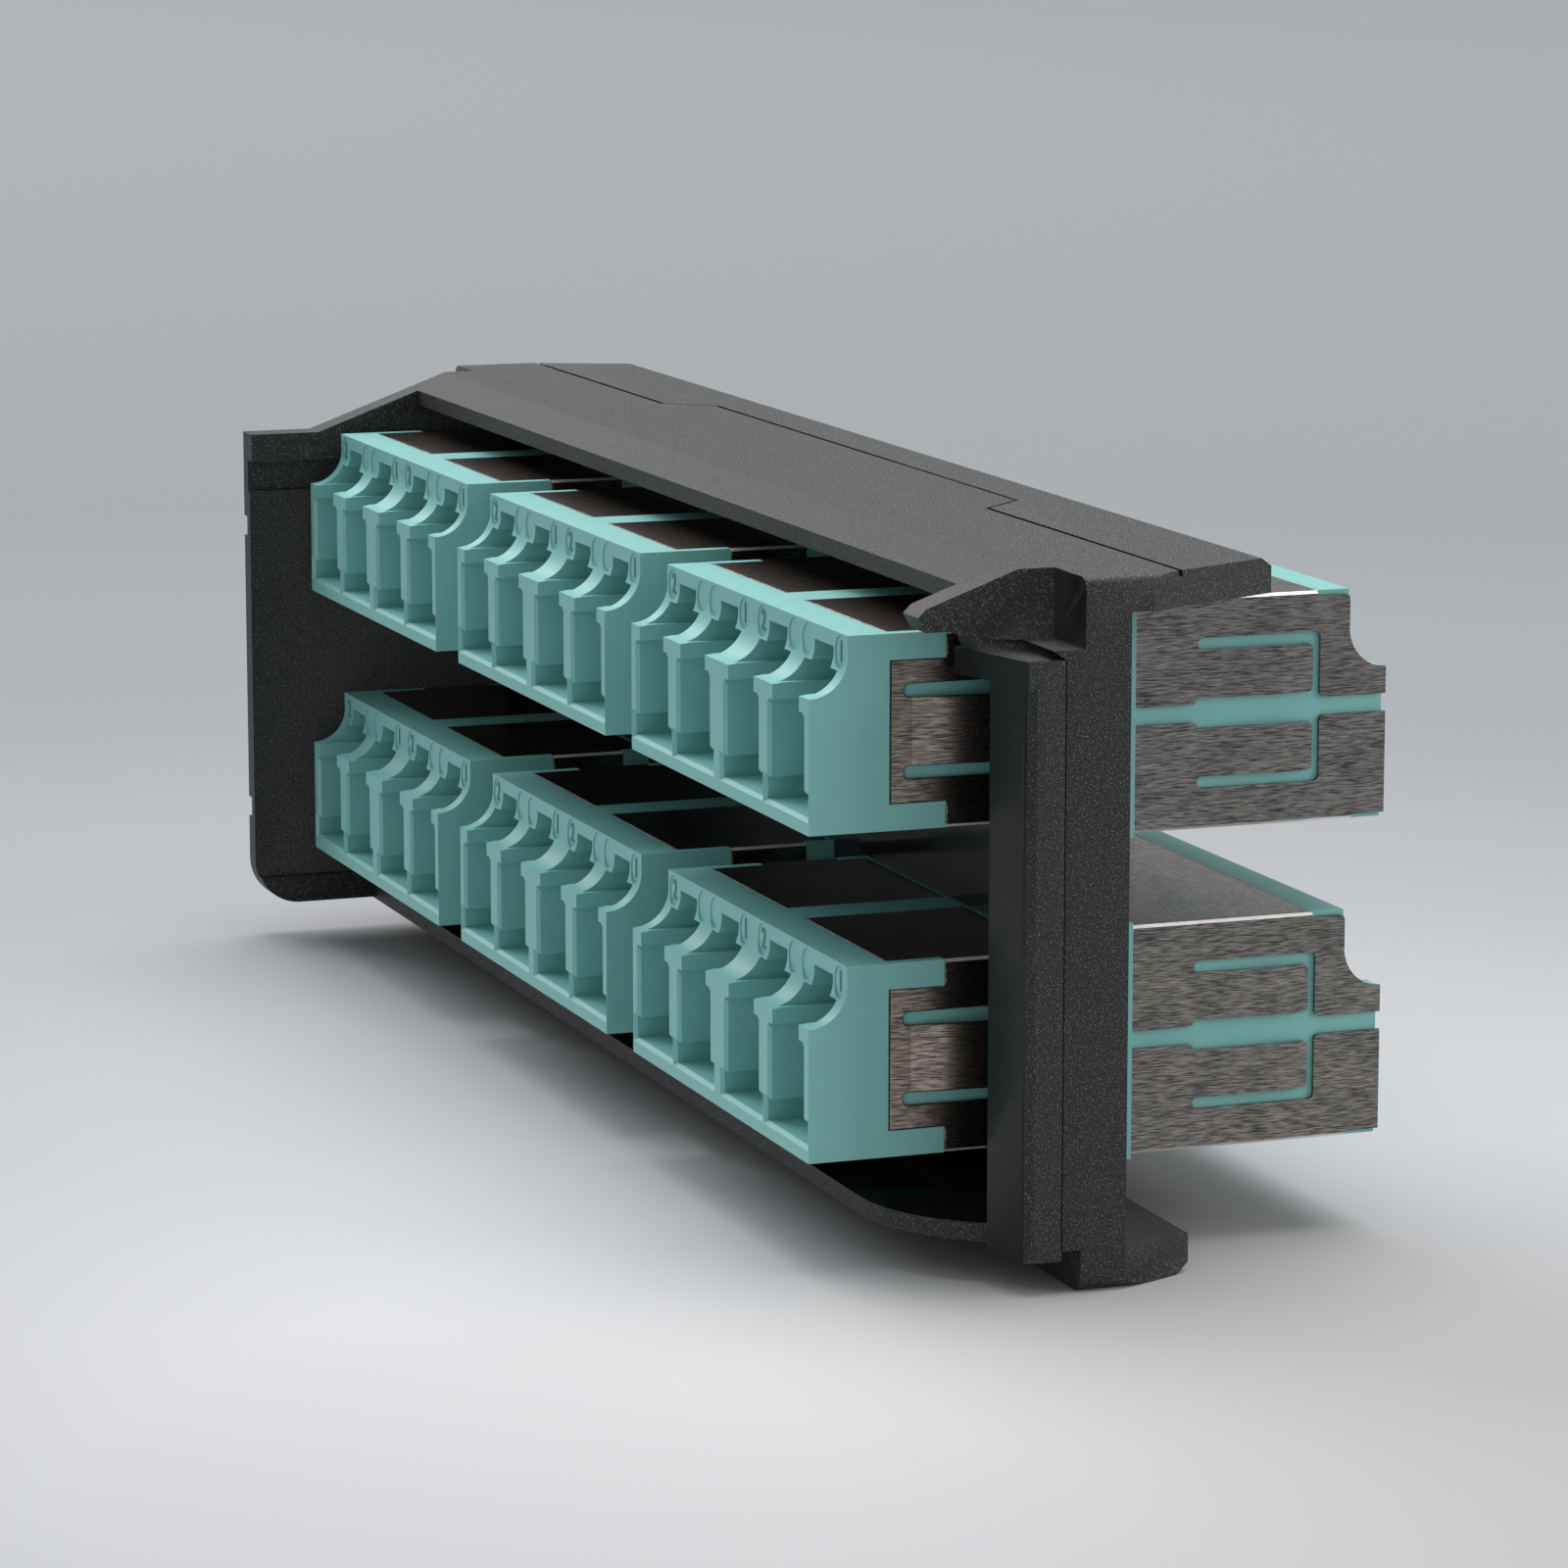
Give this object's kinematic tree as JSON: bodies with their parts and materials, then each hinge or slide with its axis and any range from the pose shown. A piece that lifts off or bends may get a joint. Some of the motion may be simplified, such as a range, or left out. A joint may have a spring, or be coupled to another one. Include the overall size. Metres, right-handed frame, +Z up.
{
  "type": "fibre optic adapter plate",
  "caption": "Black moulded snap-in plate with rows of aqua fibre adapters, each with stepped latch ports at both ends and folded steel shields.",
  "frame": {"origin": "centre of the bounding box in X and Y, on the underside of the moulding", "axes": "+X runs along the plate to the right seen from the ports, +Y from the ports to the rear, +Z up towards the roof ledge"},
  "size_m": [0.0992, 0.0334, 0.0342],
  "materials": {
    "frame": "fine spark-eroded grain",
    "housing": "satin",
    "shield": "brushed",
    "sleeve": "polished"
  },
  "bodies": {
    "root": {"frame": "frame", "lower_left_front_housing": "housing", "lower_middle_front_housing": "housing", "lower_right_front_housing": "housing", "upper_left_front_housing": "housing", "upper_middle_front_housing": "housing", "upper_right_front_housing": "housing", "lower_left_rear_housing": "housing", "lower_middle_rear_housing": "housing", "lower_right_rear_housing": "housing", "upper_left_rear_housing": "housing", "upper_middle_rear_housing": "housing", "upper_right_rear_housing": "housing", "lower_left_front_right_shield": "shield", "lower_middle_front_right_shield": "shield", "lower_right_front_right_shield": "shield", "upper_left_front_right_shield": "shield", "upper_middle_front_right_shield": "shield", "upper_right_front_right_shield": "shield", "lower_left_front_left_shield": "shield", "lower_middle_front_left_shield": "shield", "lower_right_front_left_shield": "shield", "upper_left_front_left_shield": "shield", "upper_middle_front_left_shield": "shield", "upper_right_front_left_shield": "shield", "lower_left_rear_upper_shield": "shield", "lower_middle_rear_upper_shield": "shield", "lower_right_rear_upper_shield": "shield", "upper_left_rear_upper_shield": "shield", "upper_middle_rear_upper_shield": "shield", "upper_right_rear_upper_shield": "shield", "lower_left_rear_lower_shield": "shield", "lower_middle_rear_lower_shield": "shield", "lower_right_rear_lower_shield": "shield", "upper_left_rear_lower_shield": "shield", "upper_middle_rear_lower_shield": "shield", "upper_right_rear_lower_shield": "shield", "lower_left_sleeves": "sleeve", "lower_middle_sleeves": "sleeve", "lower_right_sleeves": "sleeve", "upper_left_sleeves": "sleeve", "upper_middle_sleeves": "sleeve", "upper_right_sleeves": "sleeve"}
  },
  "joints": []
}
